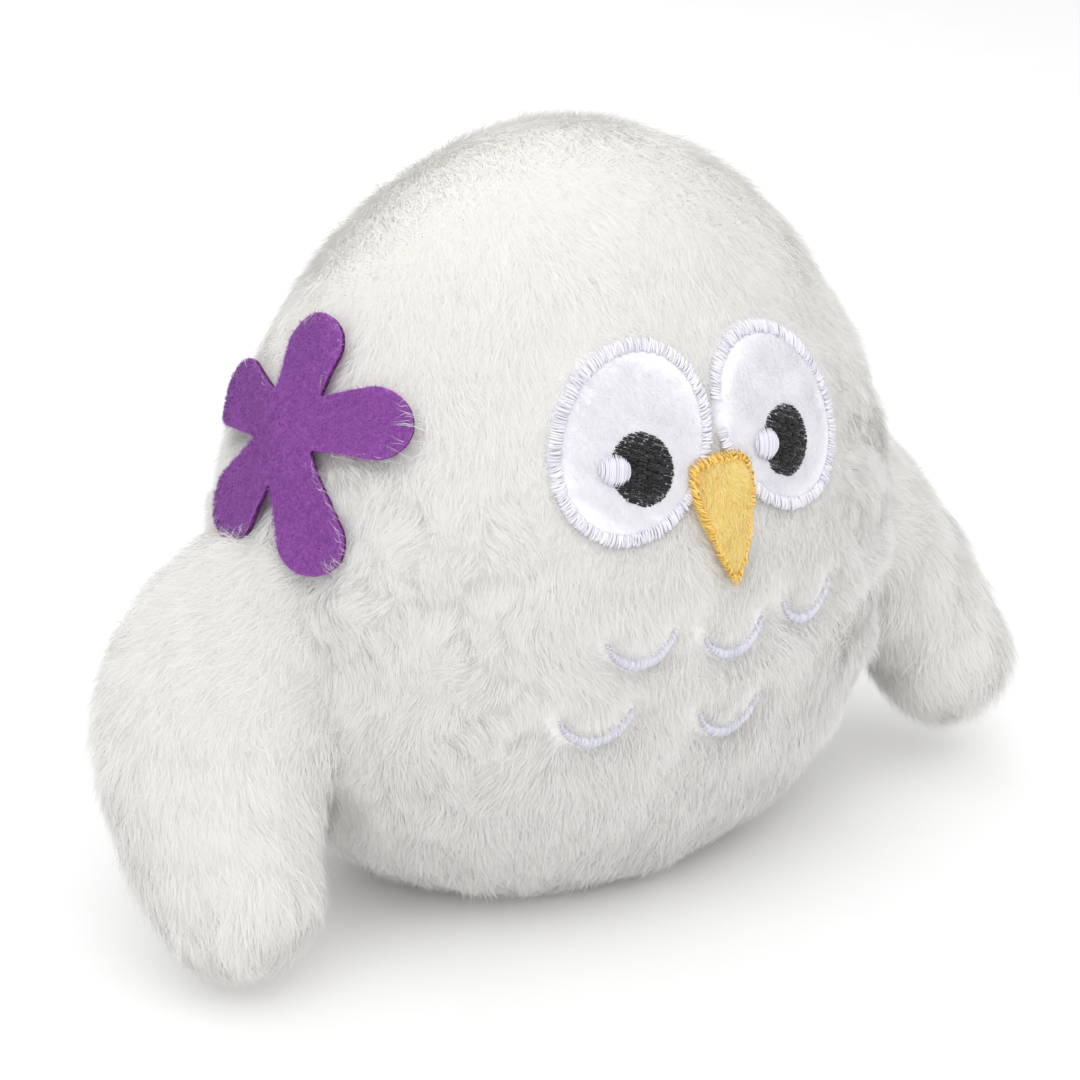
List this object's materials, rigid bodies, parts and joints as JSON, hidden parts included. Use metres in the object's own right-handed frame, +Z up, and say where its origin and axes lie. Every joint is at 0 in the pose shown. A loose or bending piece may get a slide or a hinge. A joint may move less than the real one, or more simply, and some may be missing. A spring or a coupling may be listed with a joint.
{
  "type": "interactive plush pet",
  "caption": "Egg-shaped white plush owl with two motor-driven flapping wings, embroidered face, felt flower, belly press sensor, talking speaker and a battery box behind a back flap.",
  "frame": {"origin": "middle of the flat base, on the surface the toy stands on", "axes": "+Z up, the owl looks towards -Y, its left wing is on +X"},
  "size_m": [0.2335, 0.1214, 0.1685],
  "materials": {
    "plush_pile": "matte",
    "base_cloth": "matte",
    "fibre_fill": "matte",
    "eye_minky": "matte",
    "white_satin_thread": "satin",
    "black_satin_thread": "satin",
    "yellow_minky": "matte",
    "golden_thread": "satin",
    "lavender_thread": "satin",
    "purple_felt": "matte",
    "hook_loop_tape": "matte",
    "case_plastic": "satin",
    "door_plastic": "satin",
    "black_plastic": "satin",
    "white_acetal": "satin",
    "red_acetal": "satin",
    "zinc_steel": "satin",
    "motor_steel": "satin",
    "ferrite": "matte",
    "brass": "satin",
    "board_green": "gloss",
    "cone_paper": "matte",
    "cell_jacket": "gloss",
    "lead_insulation": "satin"
  },
  "bodies": {
    "plush_body": {"front_skin": "plush_pile", "back_skin": "plush_pile", "base_panel": "base_cloth", "stuffing_front": "fibre_fill", "stuffing_rear": "fibre_fill", "eye_patch_right": "eye_minky", "eye_patch_left": "eye_minky", "eye_border_right": "white_satin_thread", "eye_border_left": "white_satin_thread", "pupil_right": "black_satin_thread", "pupil_left": "black_satin_thread", "eye_highlights": "white_satin_thread", "beak_patch": "yellow_minky", "beak_border": "golden_thread", "chest_scallops": "lavender_thread", "felt_flower": "purple_felt", "closure_hook_strip": "hook_loop_tape", "case_front": "case_plastic", "case_rear": "case_plastic", "case_screws": "zinc_steel", "pivot_pins": "zinc_steel", "lay_pins": "zinc_steel", "motor_plate": "zinc_steel", "plate_screws": "zinc_steel", "motor_can": "motor_steel", "motor_magnets": "ferrite", "motor_end_cap": "white_acetal", "circuit_board": "board_green", "microphone": "zinc_steel", "speaker_frame": "zinc_steel", "speaker_cone": "cone_paper", "speaker_magnet": "ferrite", "battery_cells": "cell_jacket", "battery_contacts": "zinc_steel", "door_hinge_pin": "zinc_steel", "switch_body": "black_plastic", "sensor_housing": "white_acetal", "sensor_spring": "zinc_steel", "sensor_leads": "lead_insulation", "motor_leads": "lead_insulation", "speaker_leads": "lead_insulation", "battery_leads": "lead_insulation"},
    "wing_right": {"wing_right_skin": "plush_pile", "wing_right_stuffing": "fibre_fill", "wing_right_lever": "white_acetal"},
    "wing_left": {"wing_left_skin": "plush_pile", "wing_left_stuffing": "fibre_fill", "wing_left_lever": "white_acetal"},
    "idler_right": {"idler_gear_right": "white_acetal"},
    "idler_left": {"idler_gear_left": "white_acetal"},
    "drive_stage": {"drive_gear": "red_acetal"},
    "second_stage": {"second_gear": "white_acetal"},
    "motor_armature": {"motor_rotor": "motor_steel", "motor_pinion": "brass"},
    "back_flap": {"access_flap": "plush_pile", "closure_loop_strip": "hook_loop_tape"},
    "battery_cover": {"battery_door": "door_plastic", "door_screw": "zinc_steel"},
    "power_switch": {"switch_knob": "white_acetal"},
    "press_button": {"sensor_button": "white_acetal"}
  },
  "joints": [
    {"name": "wing_right_flap", "type": "hinge", "parent": "plush_body", "child": "wing_right", "pos_m": [-0.054, -0.008, 0.09], "axis": [0, 1, 0], "range_deg": [0, 28]},
    {"name": "wing_left_flap", "type": "hinge", "parent": "plush_body", "child": "wing_left", "pos_m": [0.054, -0.008, 0.09], "axis": [0, -1, 0], "range_deg": [0, 28]},
    {"name": "idler_right_turn", "type": "hinge", "parent": "plush_body", "child": "idler_right", "pos_m": [-0.018, -0.008, 0.09], "axis": [0, 1, 0], "range_deg": [-28, 0]},
    {"name": "idler_left_turn", "type": "hinge", "parent": "plush_body", "child": "idler_left", "pos_m": [0.018, -0.008, 0.09], "axis": [0, 1, 0], "range_deg": [0, 28]},
    {"name": "drive_gear_turn", "type": "hinge", "parent": "plush_body", "child": "drive_stage", "pos_m": [0.0242, -0.008, 0.0668], "axis": [0, 1, 0], "range_deg": [-84, 0]},
    {"name": "second_gear_turn", "type": "hinge", "parent": "plush_body", "child": "second_stage", "pos_m": [0.0152, -0.0035, 0.0548], "axis": [0, 1, 0], "range_deg": [0, 336]},
    {"name": "motor_turn", "type": "hinge", "parent": "plush_body", "child": "motor_armature", "pos_m": [0.00545, 0.0005, 0.0492], "axis": [0, 1, 0], "range_deg": [-1344, 0]},
    {"name": "back_flap_hinge", "type": "hinge", "parent": "plush_body", "child": "back_flap", "pos_m": [0, 0.0539, 0.0299], "axis": [-1, 0, 0], "range_deg": [0, 100]},
    {"name": "battery_door_hinge", "type": "hinge", "parent": "plush_body", "child": "battery_cover", "pos_m": [0, 0.0486, 0.0342], "axis": [-1, 0, 0], "range_deg": [0, 85]},
    {"name": "power_switch_slide", "type": "slide", "parent": "plush_body", "child": "power_switch", "axis": [0, 0, 1], "range_m": [0, 0.004]},
    {"name": "belly_press", "type": "slide", "parent": "plush_body", "child": "press_button", "axis": [0, 1, 0], "range_m": [0, 0.0015], "stiffness_N_per_m": 300, "springref_m": -0.001, "deforming": ["sensor_spring"]}
  ],
  "couplings": [
    {"joint": "wing_left_flap", "follows": "wing_right_flap", "ratio": 1},
    {"joint": "idler_right_turn", "follows": "wing_right_flap", "ratio": -1},
    {"joint": "idler_left_turn", "follows": "wing_right_flap", "ratio": 1},
    {"joint": "drive_gear_turn", "follows": "wing_right_flap", "ratio": -3},
    {"joint": "second_gear_turn", "follows": "wing_right_flap", "ratio": 12},
    {"joint": "motor_turn", "follows": "wing_right_flap", "ratio": -48},
    {"joint": "battery_door_hinge", "follows": "back_flap_hinge", "ratio": 0.85}
  ]
}
